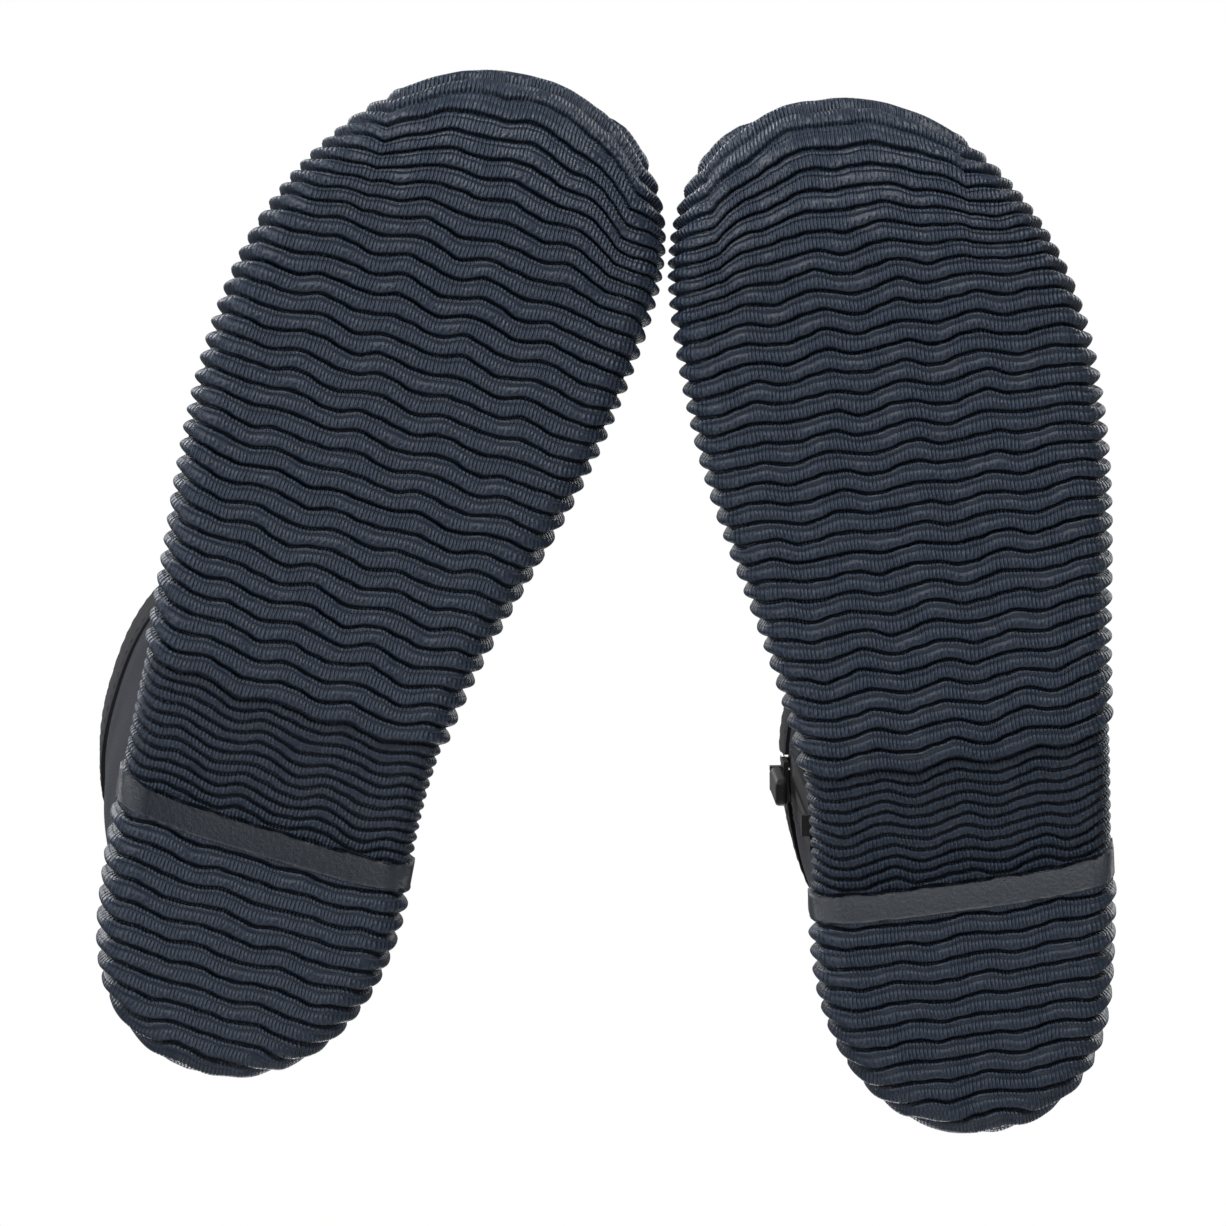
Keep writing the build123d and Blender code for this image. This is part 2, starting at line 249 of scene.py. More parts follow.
def rib_rubber():
    """Moulded sole rubber: beads and fine cross lines follow the ribs' own coordinates. Its colour holds
    painted shade in the grooves and painted highlights on the ridges, beads and cross lines.
    """
    n = Nodes("rib_rubber")
    across, along, crest = n.attr("rib_across"), n.attr("rib_along"), n.attr("rib_crest")
    textured, length = n.attr("rib_on"), n.attr("from_heel")
    phase = n.math("FRACT", across)
    wander = n.noise(90.0, 2.0)
    shifted = n.math("ADD", along, n.multiply(wander, 1.6))
    lines = n.math("SINE", n.multiply(shifted, 2 * math.pi / STROKE_PITCH))
    beads = n.math("SINE", n.multiply(along, 2 * math.pi / BEAD_PITCH))
    off_centre = n.math("ABSOLUTE", n.math("SUBTRACT", phase, 0.33))
    bead_row = n.remap(off_centre, 0.03, 0.14, 1.0, 0.0)
    edge = n.remap(n.math("ABSOLUTE", n.math("SUBTRACT", phase, 0.80)), 0.0, 0.05, 1.0, 0.0)
    patches = n.remap(n.noise(140.0, 2.0), 0.34, 0.60, 0.05, 1.0)
    grain = n.noise(2600.0, 4.0, 0.7)
    coarse = n.noise(700.0, 3.0, 0.6)

    fine_strokes = n.multiply(n.multiply(lines, patches), 0.75)
    height = n.math("ADD", fine_strokes, n.multiply(n.multiply(beads, bead_row), 0.45))
    height = n.math("ADD", height, n.multiply(edge, 0.55))
    height = n.multiply(height, textured)
    height = n.math("ADD", height, n.multiply(grain, 0.55))
    height = n.math("ADD", height, n.multiply(coarse, 0.75))
    normal = n.bump(height, 0.00022)

    # Painted shade: the grooves between the ribs are coloured darker than the crests.
    base = n.mix(n.remap(crest, 0.1, 0.95), (0.0027, 0.0060, 0.0130), (0.0066, 0.0160, 0.0350))
    # Painted highlight: the thin ridge by each groove and the bead tops are coloured lighter, as if lit.
    painted_bead_highlight = n.multiply(n.multiply(bead_row, n.remap(beads, 0.2, 1.0)), patches)
    light = n.multiply(n.math("ADD", edge, painted_bead_highlight), textured)
    base = n.mix(n.multiply(light, 0.42), base, (0.035, 0.056, 0.094))
    # Painted highlights: the crests of the fine cross lines are coloured lighter.
    strokes = n.multiply(n.multiply(n.remap(lines, 0.3, 1.0), patches), textured)
    base = n.mix(n.multiply(strokes, 0.52), base, (0.046, 0.070, 0.110))
    base = n.mix(n.remap(grain, 0.55, 0.80, 0.0, 0.55), base, (0.036, 0.052, 0.086))
    base = n.mix(n.remap(coarse, 0.30, 0.55, 0.50, 0.0), base, (0.006, 0.008, 0.013))
    base = n.mix(n.multiply(n.attr("band"), 0.85), base, (0.0045, 0.0080, 0.0140))
    toe_gloss = n.remap(length, 248.0, 284.0, 0.0, 0.12)
    rough = n.math("SUBTRACT", n.remap(coarse, 0.3, 0.7, 0.42, 0.56), toe_gloss)
    return n.set(Base_Color=base, Roughness=rough, Normal=normal, Specular_IOR_Level=0.5)


def plain_rubber(name, colour, rough, depth=0.00006):
    """Matt rubber or foam with a fine grain and faint patches."""
    n = Nodes(name)
    fine, broad = n.noise(1800.0, 4.0, 0.6), n.noise(120.0, 3.0)
    base = n.mix(n.remap(broad, 0.3, 0.7), colour, times(colour, 1.35))
    base = n.mix(n.remap(fine, 0.6, 0.85, 0.0, 0.4), base, times(colour, 2.0))
    roughness = n.remap(broad, 0.3, 0.7, rough, rough + 0.12)
    return n.set(Base_Color=base, Roughness=roughness, Normal=n.bump(fine, depth))


def knit(name, colour, pitch, depth, sheen):
    """Fine knitted face: two crossing thread waves with a soft fuzz, and painted shade in the weave's
    hollows.
    """
    n = Nodes(name)
    parts = n.node("SeparateXYZ")
    n.tree.links.new(n.coords, parts.inputs[0])
    x, y, z = parts.outputs
    warp_line = n.math("ADD", z, n.multiply(y, 0.3))
    weft_line = n.math("ADD", x, n.multiply(y, 0.9))
    warp = n.math("SINE", n.multiply(warp_line, 2 * math.pi / pitch))
    weft = n.math("SINE", n.multiply(weft_line, 2 * math.pi / (pitch * 0.8)))
    weave = n.multiply(n.math("ADD", warp, 1.0), n.math("ADD", weft, 1.0))
    fuzz, broad = n.noise(1500.0, 4.0, 0.65), n.noise(45.0, 3.0)
    height = n.math("ADD", n.multiply(weave, 0.10), n.multiply(fuzz, 0.9))
    base = n.mix(n.remap(broad, 0.3, 0.7), times(colour, 0.9), times(colour, 1.12))
    base = n.mix(n.remap(fuzz, 0.5, 0.8, 0.0, 0.6), base, times(colour, 1.6))
    # Painted shade: the colour darkens where the thread waves are low, in the weave's hollows.
    base = n.mix(n.remap(weave, 0.0, 1.0, 0.22, 0.0), base, times(colour, 0.6))
    return n.set(Base_Color=base, Roughness=0.85, Normal=n.bump(height, depth),
                 Sheen_Weight=sheen, Sheen_Roughness=0.45, Specular_IOR_Level=0.15)


def moulded(name, colour, rough, metallic=0.0):
    """Moulded plastic or painted metal with wear."""
    n = Nodes(name)
    grain, wear = n.noise(1400.0, 3.0), n.noise(160.0, 4.0)
    base = n.mix(n.remap(grain, 0.45, 0.8), colour, times(colour, 1.9))
    return n.set(Base_Color=base, Roughness=n.remap(wear, 0.3, 0.7, rough, rough + 0.18),
                 Normal=n.bump(grain, 0.00010), Metallic=metallic)


MAT = {
    "rib": rib_rubber(),
    "skin": plain_rubber("skin_rubber", (0.013, 0.016, 0.022), 0.50),
    "neoprene": knit("neoprene_knit", (0.0075, 0.0100, 0.0190), 0.0011, 0.00014, 0.05),
    "lining": knit("lining_knit", (0.022, 0.024, 0.031), 0.0016, 0.00022, 0.12),
    "hem": knit("hem_knit", (0.0105, 0.0108, 0.0140), 0.0009, 0.00012, 0.05),
    "tape": plain_rubber("seam_tape", (0.014, 0.016, 0.021), 0.62),
    "zip_cloth": knit("zip_cloth", (0.012, 0.012, 0.015), 0.0007, 0.00014, 0.08),
    "thread": knit("thread", (0.030, 0.032, 0.040), 0.0004, 0.00005, 0.15),
    "foam": plain_rubber("foam", (0.05, 0.05, 0.055), 0.8, 0.0002),
    "board": plain_rubber("board", (0.025, 0.024, 0.023), 0.75),
    "plastic": moulded("zip_plastic", (0.020, 0.019, 0.018), 0.48),
    "metal": moulded("zip_metal", (0.022, 0.021, 0.020), 0.34, 0.35),
}


# ------------------------------------------------------------------ sole
HEEL_RISE = 7.0
SPRING_START, SPRING_LENGTH, SPRING_RISE = 245, 55.0, 19.6


def tread_line(s):
    """Rise of the sole's long profile: heel seat, slope to the forefoot, toe spring."""
    s = np.asarray(s, float)
    heel = HEEL_RISE * (1 - smooth(60, 120, s))
    radius = (SPRING_LENGTH ** 2 + SPRING_RISE ** 2) / (2 * SPRING_RISE)
    past = s - SPRING_START
    toe = np.where(past > 0, radius - np.sqrt(np.maximum(radius ** 2 - past ** 2, 0)), 0)
    return heel + toe


def ground_outline(count=2400):
    """Sole wall's outline between the rib ends, and its inward normals."""
    pts = np.array(OUTLINE, float)
    gaps = np.linalg.norm(np.roll(pts, -1, 0) - pts, axis=1)
    knots = np.concatenate([[0], np.cumsum(gaps)])
    fine = cubic(knots, pts, np.linspace(0, knots[-1], count, endpoint=False), periodic=True)
    run = np.roll(fine, -1, 0) - np.roll(fine, 1, 0)
    run /= np.linalg.norm(run, axis=1)[:, None]
    inward = np.stack([-run[:, 1], run[:, 0]], 1)
    return fine + inward * INSET, inward


def scatter(index):
    """A number from 0 to 1 for each rib that looks random and never changes."""
    value = np.sin(index * 12.9898 + 78.233) * 43758.5453
    return value - np.floor(value)


def rib_profile(p, along):
    """Height of a large rib over its width, 0 to 1: bead row, shallow hollow, thin ridge, groove."""
    rise = smooth(0.0, 0.21, p)
    fall = 1 - smooth(0.91, 1.0, p)
    patch = np.clip(0.55 + 0.6 * np.sin(along * 0.19) * np.cos(along * 0.047 + 1.0), 0.1, 1.0)
    bead = 0.09 * patch * np.exp(-((p - 0.34) / 0.12) ** 2) * np.cos(2 * np.pi * along / BEAD_PITCH)
    hollow = -0.26 * np.exp(-((p - 0.66) / 0.13) ** 2)
    return rise * fall * (0.94 + hollow + bead)


def bent_length(x, y):
    """Place along the sole with the ribs' bend at the sides and round the toe, and the toe's share."""
    bend = 5.0 * np.clip((190.0 - y) / 90.0, -1, 1)
    sweep = bend * np.minimum(np.abs(x) / 50.0, 1.2) ** 4
    sag = np.minimum(80 * (1 - np.sqrt(np.maximum(1 - ((x + 8) / 62) ** 2, 0))), 14)
    round_toe = 1 - smooth(0, 44, SOLE_LENGTH - sag - y)
    return y - sweep + sag * round_toe, round_toe


def waves(x, y, ys, round_toe, wave_shift):
    """Waves of the ribs: the ripple's shape, and the ripple with its amplitude and a slow drift."""
    turn = 2 * np.pi * (x + wave_shift + 0.6 * np.sin(y * 0.045)) / WAVE_LENGTH
    ripple = np.cos(turn) + 0.10 * np.sin(2 * turn) + 0.06 * np.cos(3 * turn + y * 0.05)
    drift = 0.26 * np.sin(x * 0.21 + y * 0.13) + 0.18 * np.sin(x * 0.47 - y * 0.29)
    drift = drift + 0.10 * np.sin(x * 0.93 + y * 0.71)
    lively = 0.92 + 0.20 * np.sin(y * 0.061 + 0.4) * np.cos(x * 0.043)
    waist = 0.35 * (1 - smooth(80, 104, ys)) * smooth(66, 72, ys)
    calm = (1 - 0.38 * smooth(22, 50, np.abs(x))) * (0.52 + 0.48 * smooth(62, 72, ys))
    amplitude = (lively + waist) * calm * (1 - 0.5 * round_toe ** 2)
    return ripple, amplitude * ripple + drift


def rib_pattern(x, y, wave_shift):
    """Rib heights, rib coordinates and masks for positions on the unrolled sole."""
    ys, round_toe = bent_length(x, y)
    ripple, wave = waves(x, y, ys, round_toe, wave_shift)
    flat_y = ys - wave
    in_heel = ys < HEEL_END
    in_fine = (ys >= HEEL_END) & (flat_y < FORE_START)
    heel_u = (flat_y - HEEL_START) / COARSE_PITCH + 0.5
    fine_u = (flat_y - FORE_START) / FINE_PITCH
    fore_u = (flat_y - FORE_START) / COARSE_PITCH
    u = np.where(in_heel, heel_u, np.where(in_fine, fine_u, fore_u))
    index = np.floor(u)
    p = u - index
    along = x + 5.0 * scatter(index) + np.where(in_heel, 3.0, np.where(in_fine, 7.0, 11.0))

    big = 0.45 + 2.05 * rib_profile(p, along) * (1 + 0.05 * np.sin(x * 0.35 + index * 2.4))
    small_wide = smooth(0.0, 0.30, p) * (1 - smooth(0.74, 1.0, p))
    small_bead = 0.16 * np.exp(-((p - 0.42) / 0.24) ** 2) * np.cos(2 * np.pi * along / FINE_BEAD_PITCH)
    h = np.where(in_fine, 1.3 * small_wide * (1 + small_bead), big)
    dome = np.where(in_fine, 1.35, 2.65) * np.sin(np.pi * p) ** np.where(in_fine, 0.8, 0.9)
    # crest: 1 on the ribs' tops, 0 in the grooves; the sole's colour paints shade into the grooves from it.
    crest = np.where(in_fine, small_wide, smooth(0.0, 0.16, p) * (1 - smooth(0.90, 1.0, p)))
    band_end = HEEL_END + BREAST
    band = smooth(HEEL_END - 0.5, HEEL_END + 0.4, ys)
    band = band * (1 - smooth(band_end - 0.3, band_end + 0.4, ys + 0.5 * ripple))
    ramp = GROUND * (1 - np.clip((ys - HEEL_END) / BREAST, 0, 1)) + 0.05
    return h, dome, ramp, band, crest, u, along, ys


def nearest_on(line, px, py, block=20000):
    """Index of the nearest outline point for each grid point."""
    nearest = np.empty(len(px), np.int32)
    line = line.astype(np.float32)
    for a in range(0, len(px), block):
        dx = px[a:a + block, None].astype(np.float32) - line[None, :, 0]
        dy = py[a:a + block, None].astype(np.float32) - line[None, :, 1]
        nearest[a:a + block] = np.argmin(dx * dx + dy * dy, axis=1)
    return nearest


def sole_mesh(side):
    """Ribbed underside and wall of one sole: a flat grid rolled up over the edge and displaced."""
    boot = BOOTS[side]
    line, inward = ground_outline()
    reach, lip, ledge = 14.0, 0.8, 4.0
    xs = np.arange(-60 - reach, 62 + reach, STEP_ACROSS)
    ys = np.arange(-reach, 293 + reach, STEP_ALONG)
    gx, gy = np.meshgrid(xs, ys)
    px, py = gx.ravel(), gy.ravel()
    nearest = nearest_on(line, px, py)
    foot, normal = line[nearest], inward[nearest]

    inside = (px - foot[:, 0]) * normal[:, 0] + (py - foot[:, 1]) * normal[:, 1]
    radius = 6.5 + 3.5 * smooth(255, 285, foot[:, 1]) - 1.5 * (1 - smooth(0, 30, foot[:, 1]))
    arc = radius * np.pi / 2
    wall = RIM - lip - GROUND - radius
    turn = lip * np.pi / 2
    q_max = arc + wall + turn + ledge
    q = np.minimum(np.clip(radius - inside, 0, None), q_max)
    flat = inside >= radius
    a = np.clip(q / radius, 0, np.pi / 2)
    in_wall = np.clip(q - arc, 0, wall)
    b = np.clip((q - arc - wall) / lip, 0, np.pi / 2)
    in_ledge = np.clip(q - arc - wall - turn, 0, ledge)
    offset_in = radius - radius * np.sin(a) + lip * (1 - np.cos(b)) + in_ledge
    z = GROUND + radius * (1 - np.cos(a)) + in_wall + lip * np.sin(b)
    tilt = np.where(q < arc, a, np.pi / 2 + b)
    nx = np.where(flat, 0, -normal[:, 0] * np.sin(tilt))
    ny = np.where(flat, 0, -normal[:, 1] * np.sin(tilt))
    nz = np.where(flat, -1, -np.cos(tilt))
    bx = np.where(flat, px, foot[:, 0] + normal[:, 0] * offset_in)
    by = np.where(flat, py, foot[:, 1] + normal[:, 1] * offset_in)
    bz = np.where(flat, GROUND, z)

    ux = np.where(flat, px, foot[:, 0] - normal[:, 0] * (q - radius))
    uy = np.where(flat, py, foot[:, 1] - normal[:, 1] * (q - radius))
    h, dome, ramp, band, crest, u, along, bent = rib_pattern(ux, uy, boot["wave_shift"])
    side_share = smooth(0.35, 1.15, a) * ~flat
    h = h * (1 - side_share) + dome * side_share
    end_height = 10.2 + 1.6 * smooth(250, 280, foot[:, 1])
    top_fade = 1 - smooth(end_height - 0.8, end_height + 0.4, bz)
    h = h * top_fade
    ramp = ramp * (1 - side_share) + 2.1 * side_share * (1 - smooth(12.2, 13.2, bz))
    h = h * (1 - band) + ramp * band
    low = tread_line(by)
    under = low * np.clip((bent - HEEL_END) / BREAST, 0, 1)
    lift = under + (low - under) * smooth(5.0, 12.5, bz)
    moved = np.stack([bx + nx * h, by + ny * h, np.maximum(bz + nz * h + lift, 0.0)], 1)
    verts = to_world(side, moved)

    idx = np.arange(len(px)).reshape(gx.shape)
    quads = np.stack([idx[:-1, :-1], idx[1:, :-1], idx[1:, 1:], idx[:-1, 1:]], -1).reshape(-1, 4)
    if boot["sign"] < 0:
        quads = quads[:, ::-1]
    quads = quads[(radius - inside < q_max)[quads].any(1)]
    attributes = {
        "rib_across": u, "rib_along": along, "rib_crest": np.maximum(crest, band),
        "rib_on": (1 - band) * top_fade, "from_heel": by, "band": band,
    }
    centres = [values[quads].mean(1) for values in (bent, bz + lift, u)]
    split_sole(side, verts, quads, attributes, *centres)


def split_sole(side, verts, quads, attributes, centre_y, centre_z, centre_u):
    """The heel block and the outsole's fields become pieces of their own."""
    rib = np.floor(centre_u)
    behind = centre_y < HEEL_END + BREAST
    front = (centre_y > 95) & (centre_u >= 0)
    groups = {
        "heel_lift": behind & (centre_z < HEEL_TOP),
        "outsole_heel_wall": behind & (centre_z >= HEEL_TOP),
        "outsole_waist": ~behind & ~front,
        "outsole_fore": front & (rib < 11),
        "outsole_ball": front & (rib >= 11) & (rib < 21),
        "outsole_toe": front & (rib >= 21),
    }
    for name, mask in groups.items():
        used, inverse = np.unique(quads[mask], return_inverse=True)
        sub = {key: values[used] for key, values in attributes.items()}
        make_object(f"{side}_{name}", verts[used], inverse.reshape(-1, 4), f"{side}_boot",
                                 MAT["rib"], sub)
    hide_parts(f"{side}_heel_lift")
    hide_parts(f"{side}_outsole")


for SIDE in BOOTS:
    sole_mesh(SIDE)


# ------------------------------------------------------------------ upper
AROUND = 300
LENGTHWISE = 300
WALL = 5.0              # neoprene
SKIN = 1.2              # rubber skins and tapes over it
BOTTOM = 10.0           # lower edge of the panels, inside the sole's cup
HEM_START = 151.0
PANEL_TOP = 165.0


def ring_points(section, grow, angles):
    """Super-elliptic ring round one section of the upper."""
    (y0, z0), (y1, z1), medial, lateral, narrowing = section
    span = math.hypot(y1 - y0, z1 - z0)
    uy, uz = (y1 - y0) / span, (z1 - z0) / span
    along, across = -np.cos(angles), np.sin(angles)
    along = np.sign(along) * np.abs(along) ** (2 / SQUARENESS)
    across = np.sign(across) * np.abs(across) ** (2 / SQUARENESS)
    reach = span / 2 + along * (span / 2 + grow)
    width = ((lateral - medial) / 2 + grow) * (1 - narrowing * (along + 1) / 2)
    return np.stack([(medial + lateral) / 2 + across * width, y0 + uy * reach, z0 + uz * reach], 1)


def form(grow):
    """Grid of points over the upper: rows from toe to collar, columns round the section."""
    coarse = 2 * np.pi * np.arange(12) / 12
    fine = 2 * np.pi * np.arange(AROUND) / AROUND
    rings = []
    for number, section in enumerate(SECTIONS):
        if number < 2:
            (y0, z0), (y1, z1), medial, lateral, narrowing = section
            section = ((y0 + grow, z0), (y1 + grow, z1), medial, lateral, narrowing)
        ring = ring_points(section, grow, coarse)
        gaps = np.linalg.norm(np.roll(ring, -1, 0) - ring, axis=1)
        knots = np.concatenate([[0], np.cumsum(gaps)])
        share = np.interp(fine, np.append(coarse, 2 * np.pi), knots)
        rings.append(cubic(knots, ring, share, periodic=True))
    rings = np.array(rings)
    steps = np.linalg.norm(np.diff(rings, axis=0), axis=2).mean(1)
    knots = np.concatenate([[0], np.cumsum(steps)])
    at = np.linspace(0, knots[-1], LENGTHWISE)
    return cubic(knots, rings, at)


def soften(grid):
    """Slight unevenness that a soft, worn panel has, the same for every layer of the wall."""
    x, y, z = grid[..., 0], grid[..., 1], grid[..., 2]
    up = smooth(30, 70, z)
    wave = 0.55 * np.sin(y * 0.09 + z * 0.05 + 0.8) * np.sin(z * 0.11 + x * 0.04)
    crease = np.exp(-((z - 92 - 0.25 * (y - 110)) / 7.0) ** 2) * smooth(60, 120, y) * -0.9
    crease = crease + np.exp(-((z - 106 - 0.3 * (y - 110)) / 6.0) ** 2) * smooth(80, 122, y) * 0.5
    centre = np.stack([np.full_like(x, 3.0), np.clip(y, 60, 250), np.clip(z, 25, 200)], -1)
    out = grid - centre
    out[..., 1] *= np.where(z > 110, 1, 0.3)
    out[..., 2] *= np.where(z > 110, 0, 1)
    out /= np.maximum(np.linalg.norm(out, axis=-1, keepdims=True), 1e-6)
    return grid + out * ((wave + crease) * up * (1 - smooth(140, 150, z)))[..., None]


def grid_faces(rows, cols):
    """Quads of a grid that closes on itself sideways."""
    idx = np.arange(rows * cols).reshape(rows, cols)
    right = np.roll(idx, -1, axis=1)
    return np.stack([idx[:-1], right[:-1], right[1:], idx[1:]], -1).reshape(-1, 4)


ZIP_TURN, ZIP_LEAN = math.radians(7.0), 0.004
ZIP_O = Vector((-35.8, 87.0, 48.0))
ZIP_OUT = Vector((-math.cos(ZIP_TURN), math.sin(ZIP_TURN), ZIP_LEAN)).normalized()
ZIP_X = Vector((-math.sin(ZIP_TURN), -math.cos(ZIP_TURN), 0.0))
ZIP_Y = ZIP_OUT.cross(ZIP_X)
ZIP_LENGTH = 117.0


def zip_point(x, y, out):
    return ZIP_O + ZIP_X * x + ZIP_Y * y + ZIP_OUT * out


def zip_coords(p):
    d = p - ZIP_O
    return d.dot(ZIP_X), d.dot(ZIP_Y), d.dot(ZIP_OUT)


def form_bmesh(grow):
    """The form as a mesh, closed by a small rounded nose at the toe."""
    grid = soften(form(grow))
    rows, cols = grid.shape[:2]
    bm = bmesh.new()
    verts = [bm.verts.new(p) for p in grid.reshape(-1, 3)]
    for f in grid_faces(rows, cols):
        bm.faces.new([verts[i] for i in f])
    middle = Vector(grid[0].mean(0))
    ring = verts[:cols]
    previous = ring
    for share, out in ((0.85, 0.45), (0.55, 0.85), (0.2, 1.0)):
        now = [bm.verts.new(middle.lerp(v.co, share) + Vector((0, out, 0))) for v in ring]
        for i in range(cols):
            j = (i + 1) % cols
            bm.faces.new([previous[j], previous[i], now[i], now[j]])
        previous = now
    tip = bm.verts.new(middle + Vector((0, 1.1, 0)))
    for i in range(cols):
        bm.faces.new([previous[(i + 1) % cols], previous[i], tip])
    bmesh.ops.recalc_face_normals(bm, faces=bm.faces)
    return bm


def cutting_plane(point, normal):
    return Vector(point), Vector(normal).normalized()


MIDDLE = cutting_plane((0, 0, -10), (200, 0, -8))           # lateral is positive
SEAM_LOW = cutting_plane((0, 152, -10), (0, 122, 24))       # vamp is positive
SEAM_UP = cutting_plane((0, 128, 112), (0, 88, -6))
TOE_CAP = cutting_plane((0, 236, 0), (0, 1, 0))
COUNTER_FRONT = cutting_plane((0, 46, -10), (0, 76, 8))     # counter is negative of both
COUNTER_TOP = cutting_plane((0, -20, 72), (0, 6, 58))
RAND_TOP = cutting_plane((0, 120, 27), (0, 7, 60))
TAPE_REAR_LOW = cutting_plane((0, 147, 27), (0, 87, 23))
TAPE_FRONT_LOW = cutting_plane((0, 155, 27), (0, 87, 23))
TAPE_REAR_UP = cutting_plane((0, 124, 114), (0, 37, -2.5))
RAND_HEIGHT = 27.0
TAPE_BEND = 114.0       # height where the seam tape starts to widen
BACK_TAPE = (-1.0, 11.0)


def side_of(plane, p):
    return (p - plane[0]).dot(plane[1])


def shifted(plane, distance):
    return plane[0] + plane[1] * distance, plane[1]


def is_vamp(p):
    return side_of(SEAM_LOW, p) > 0 and side_of(SEAM_UP, p) > 0


def in_slot(p, half=7.0):
    x, y, out = zip_coords(p)
    return abs(x) < half and y > 0 and abs(out) < 16


def slot_planes(half=7.0):
    return [
        (zip_point(half, 0, 0), ZIP_X), (zip_point(-half, 0, 0), ZIP_X), (zip_point(0, 0, 0), ZIP_Y),
    ]


def flat_z(z):
    return Vector((0, 0, z)), Vector((0, 0, 1))


def region(source, planes, keep):
    """Copy of a form cut along planes, with the faces that keep() accepts."""
    bm = source.copy()
    for point, normal in planes:
        geometry = bm.verts[:] + bm.edges[:] + bm.faces[:]
        bmesh.ops.bisect_plane(bm, geom=geometry, plane_co=point, plane_no=normal, dist=0.0005)
    gone = [f for f in bm.faces if not keep(f.calc_center_median())]
    bmesh.ops.delete(bm, geom=gone, context="FACES")
    return bm


def thicken(bm, wall):
    """Closed wall: the form's faces, a copy moved inwards and a rim joining them."""
    mesh = bpy.data.meshes.new("tmp")
    bm.normal_update()
    bm.to_mesh(mesh)
    obj = bpy.data.objects.new("tmp", mesh)
    bpy.context.scene.collection.objects.link(obj)
    solid = obj.modifiers.new("wall", "SOLIDIFY")
    solid.thickness, solid.offset = wall, -1.0
    solid.use_rim = True
    solid.use_even_offset = False
    depsgraph = bpy.context.evaluated_depsgraph_get()
    done = bpy.data.meshes.new_from_object(obj.evaluated_get(depsgraph))
    bpy.data.objects.remove(obj)
    bpy.data.meshes.remove(mesh)
    out = bmesh.new()
    out.from_mesh(done)
    bpy.data.meshes.remove(done)
    bm.free()
    return out


def soften_edges(bm, amount):
    steep = math.radians(50)
    sharp = [e for e in bm.edges if len(e.link_faces) == 2 and e.calc_face_angle(0) > steep]
    bmesh.ops.bevel(
        bm, geom=sharp, offset=amount, segments=2, profile=0.6, affect="EDGES", clamp_overlap=True)


def rim_order(rows, cols):
    """Grid places in order round a sheet's edge."""
    rim = [(0, j) for j in range(cols + 1)] + [(i, cols) for i in range(1, rows + 1)]
    return rim + [(rows, j) for j in range(cols - 1, -1, -1)] + [(i, 0) for i in range(rows - 1, 0, -1)]


def place(bm, name, side, material, node=None):
    """bmesh in boot millimetres to a piece in the row frame."""
    mesh = bpy.data.meshes.new(name)
    bm.to_mesh(mesh)
    co = np.empty(len(mesh.vertices) * 3)
    mesh.vertices.foreach_get("co", co)
    mesh.vertices.foreach_set("co", to_world(side, co).ravel())
    if BOOTS[side]["sign"] < 0:
        mesh.flip_normals()
    mesh.polygons.foreach_set("use_smooth", np.ones(len(mesh.polygons), bool))
    mesh.set_sharp_from_angle(angle=math.radians(50))
    mesh.update()
    mesh.materials.append(material)
    obj = bpy.data.objects.new(f"{side}_{name}", mesh)
    bpy.context.scene.collection.objects.link(obj)
    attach(obj, f"{side}_boot")
    if node:
        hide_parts(f"{side}_{node}")
    return obj


def tape_bmesh(x0, x1):
    """Woven tape: a thin strip with a slightly wavy surface and a corded edge."""
    bm = bmesh.new()
    rows, cols = 240, 10

    def face(out, flip):
        grid = []
        for i in range(rows + 1):
            y = ZIP_LENGTH * i / rows
            row = []
            for j in range(cols + 1):
                x = x0 + (x1 - x0) * j / cols
                rib = 0.10 * math.cos(2 * math.pi * (abs(x) - 2) / 1.25) + 0.05 * math.sin(y * 2.1 + x)
                row.append(bm.verts.new(zip_point(x, y, out + (rib if out > 0 else -rib))))
            grid.append(row)
        for i in range(rows):
            for j in range(cols):
                quad = [grid[i][j], grid[i][j + 1], grid[i + 1][j + 1], grid[i + 1][j]]
                bm.faces.new(quad[::-1] if flip else quad)
        return grid

    front, back = face(0.85, False), face(-0.85, True)
    rim = rim_order(rows, cols)
    for a, b in zip(rim, rim[1:] + rim[:1]):
        bm.faces.new([front[b[0]][b[1]], front[a[0]][a[1]], back[a[0]][a[1]], back[b[0]][b[1]]])
    bmesh.ops.recalc_face_normals(bm, faces=bm.faces)
    return bm


def capsule(bm, start, end, up, radius):
    """One stitch: a short thread that dips at both ends."""
    axis = end - start
    length = axis.length
    axis.normalize()
    side_dir = axis.cross(up).normalized()
    up = side_dir.cross(axis)
    rings = []
    half = [(0.0, 0.25, -0.55), (0.12, 0.8, -0.05), (0.35, 1.0, 0.35)]
    profile = half + [(1.0 - t, wide, rise) for t, wide, rise in half[::-1]]
    for t, wide, rise in profile:
        centre = start + axis * (length * t) + up * (rise * radius)
        ring = []
        for k in range(6):
            a = 2 * math.pi * k / 6
            ring.append(bm.verts.new(centre + (side_dir * math.cos(a) + up * math.sin(a)) * radius * wide))
        rings.append(ring)
    for lower, upper in zip(rings, rings[1:]):
        for k in range(6):
            bm.faces.new([lower[k], lower[(k + 1) % 6], upper[(k + 1) % 6], upper[k]])
    bm.faces.new(rings[0][::-1])
    bm.faces.new(rings[-1])


def stitch_row(bm, path, normals, length=2.6, gap=0.9, radius=0.22):
    """Stitches along a polyline of points with surface normals."""
    pts = np.array([list(p) for p in path])
    nrm = np.array([list(p) for p in normals])
    run = np.concatenate([[0], np.cumsum(np.linalg.norm(np.diff(pts, axis=0), axis=1))])
    at = 0.5
    while at + length < run[-1]:
        a = Vector([np.interp(at, run, pts[:, k]) for k in range(3)])
        b = Vector([np.interp(at + length, run, pts[:, k]) for k in range(3)])
        n = Vector([np.interp(at + length / 2, run, nrm[:, k]) for k in range(3)]).normalized()
        capsule(bm, a, b, n, radius)
        at += length + gap


